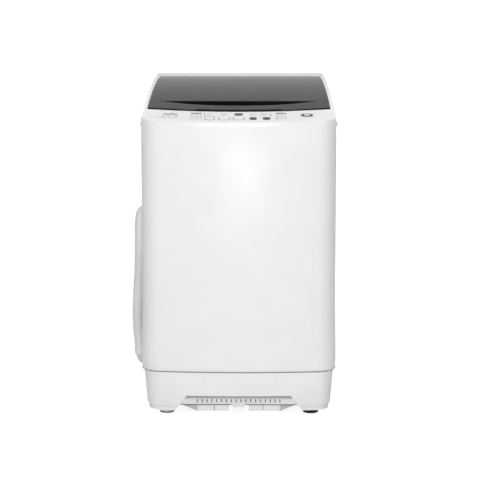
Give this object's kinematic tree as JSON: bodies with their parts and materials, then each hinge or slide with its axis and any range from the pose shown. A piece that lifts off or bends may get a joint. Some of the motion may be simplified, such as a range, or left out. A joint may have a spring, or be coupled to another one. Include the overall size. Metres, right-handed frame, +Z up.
{
  "type": "top load washing machine",
  "caption": "Compact upright washing machine with a dark rear-hinged lid, sloping push-button strip, sprung tub, spinning drum, pulsator and a side-hung drain hose.",
  "frame": {"origin": "on the floor below the middle of the cabinet, measured without the drain hose and its holder", "axes": "+X to the viewer's right, -Y out of the front, +Z up"},
  "size_m": [0.583, 0.54, 0.911],
  "materials": {
    "enamel": "white enamel on steel, gloss",
    "zinc_steel": "zinc plated steel",
    "stainless": "stainless steel, satin",
    "white_plastic": "white ABS, gloss",
    "film_grey": "pale grey printed film",
    "dark_lid": "dark smoked plastic, high gloss",
    "light_key": "silver grey key",
    "dark_key": "dark grey key",
    "display_red": "dark red display lens",
    "board_green": "circuit board",
    "badge_metal": "silver badge",
    "rubber_black": "black rubber",
    "black_plastic": "black nylon",
    "tub_plastic": "polypropylene, natural grey",
    "cast_alloy": "cast aluminium",
    "motor_steel": "motor stack and end caps",
    "hose_grey": "corrugated light grey hose",
    "holder_white": "white polypropylene"
  },
  "bodies": {
    "cabinet": {"cabinet_shell": "enamel", "rear_panel": "zinc_steel", "rear_screws": "zinc_steel", "cord_gland": "black_plastic", "base_skirt": "white_plastic", "bottom_guard": "white_plastic", "top_cover": "white_plastic", "side_caps": "white_plastic", "control_film": "film_grey", "display_window": "display_red", "badge": "badge_metal", "control_board": "board_green", "fixed_feet": "white_plastic", "foot_pads": "rubber_black", "hanger_plates": "zinc_steel", "rod_seats": "black_plastic", "suspension_rods": "zinc_steel", "hinge_pins": "stainless", "lid_switch": "black_plastic", "dispenser_housing": "tub_plastic", "inlet_valve": "white_plastic", "drain_outlet": "tub_plastic", "drain_elbow": "hose_grey", "drain_hose": "hose_grey", "hose_cuff": "hose_grey", "hose_guide": "holder_white"},
    "tub": {"outer_tub": "tub_plastic", "tub_cover": "tub_plastic", "tub_frame": "zinc_steel", "lug_bushes": "black_plastic", "suspension_springs": "zinc_steel", "gear_case": "cast_alloy", "hub_bearings": "stainless", "shaft_seal": "rubber_black", "motor_housing": "motor_steel", "drive_belt": "rubber_black", "drain_valve_body": "tub_plastic", "drain_actuator": "black_plastic", "drain_bellows": "rubber_black"},
    "drum": {"spin_basket": "stainless", "balance_ring": "tub_plastic", "basket_hub": "cast_alloy", "spin_shaft": "stainless", "lint_filter": "tub_plastic"},
    "wash_plate": {"pulsator": "white_plastic", "pulsator_screw": "stainless", "wash_shaft": "stainless", "drive_pulley": "cast_alloy"},
    "rotor": {"motor_rotor": "motor_steel", "motor_pulley": "cast_alloy"},
    "valve_plug": {"drain_plunger": "rubber_black"},
    "lid": {"lid_panel": "dark_lid"},
    "power_key": {"button_power": "light_key"},
    "water_key": {"button_water": "light_key"},
    "mode_key": {"button_mode": "light_key"},
    "drain_key": {"button_drain": "dark_key"},
    "start_key": {"button_start": "dark_key"},
    "drawer": {"detergent_drawer": "tub_plastic"},
    "screw_foot": {"leveling_foot": "black_plastic"}
  },
  "joints": [
    {"name": "tub_suspension", "type": "slide", "parent": "cabinet", "child": "tub", "axis": [0, 0, 1], "range_m": [-0.028, 0.012], "stiffness_N_per_m": 12000, "springref_m": 0.02442, "deforming": ["suspension_springs", "drain_bellows"]},
    {"name": "drum_spin", "type": "hinge", "parent": "tub", "child": "drum", "pos_m": [0, 0, 0.3], "axis": [0, 0, 1], "continuous": true},
    {"name": "pulsator_spin", "type": "hinge", "parent": "tub", "child": "wash_plate", "pos_m": [0, 0, 0.3], "axis": [0, 0, 1], "continuous": true},
    {"name": "motor_spin", "type": "hinge", "parent": "tub", "child": "rotor", "pos_m": [0, 0.15, 0.2], "axis": [0, 0, 1], "continuous": true},
    {"name": "drain_pull", "type": "slide", "parent": "tub", "child": "valve_plug", "axis": [0, -1, 0], "range_m": [0, 0.012], "stiffness_N_per_m": 900, "springref_m": -0.004},
    {"name": "lid_hinge", "type": "hinge", "parent": "cabinet", "child": "lid", "pos_m": [0, 0.206, 0.89655], "axis": [-1, 0, 0], "range_deg": [0, 95]},
    {"name": "power_press", "type": "slide", "parent": "cabinet", "child": "power_key", "axis": [0, 0.2711, -0.9626], "range_m": [0, 0.0015], "stiffness_N_per_m": 400, "springref_m": -0.002},
    {"name": "water_press", "type": "slide", "parent": "cabinet", "child": "water_key", "axis": [0, 0.2711, -0.9626], "range_m": [0, 0.0015], "stiffness_N_per_m": 400, "springref_m": -0.002},
    {"name": "mode_press", "type": "slide", "parent": "cabinet", "child": "mode_key", "axis": [0, 0.2711, -0.9626], "range_m": [0, 0.0015], "stiffness_N_per_m": 400, "springref_m": -0.002},
    {"name": "drain_press", "type": "slide", "parent": "cabinet", "child": "drain_key", "axis": [0, 0.2711, -0.9626], "range_m": [0, 0.0015], "stiffness_N_per_m": 400, "springref_m": -0.002},
    {"name": "start_press", "type": "slide", "parent": "cabinet", "child": "start_key", "axis": [0, 0.2711, -0.9626], "range_m": [0, 0.0015], "stiffness_N_per_m": 400, "springref_m": -0.002},
    {"name": "drawer_slide", "type": "slide", "parent": "cabinet", "child": "drawer", "axis": [0, -1, 0], "range_m": [0, 0.06]},
    {"name": "foot_screw", "type": "slide", "parent": "cabinet", "child": "screw_foot", "axis": [0, 0, -1], "range_m": [0, 0.012]}
  ],
  "couplings": [
    {"joint": "pulsator_spin", "follows": "motor_spin", "ratio": 0.26667}
  ]
}
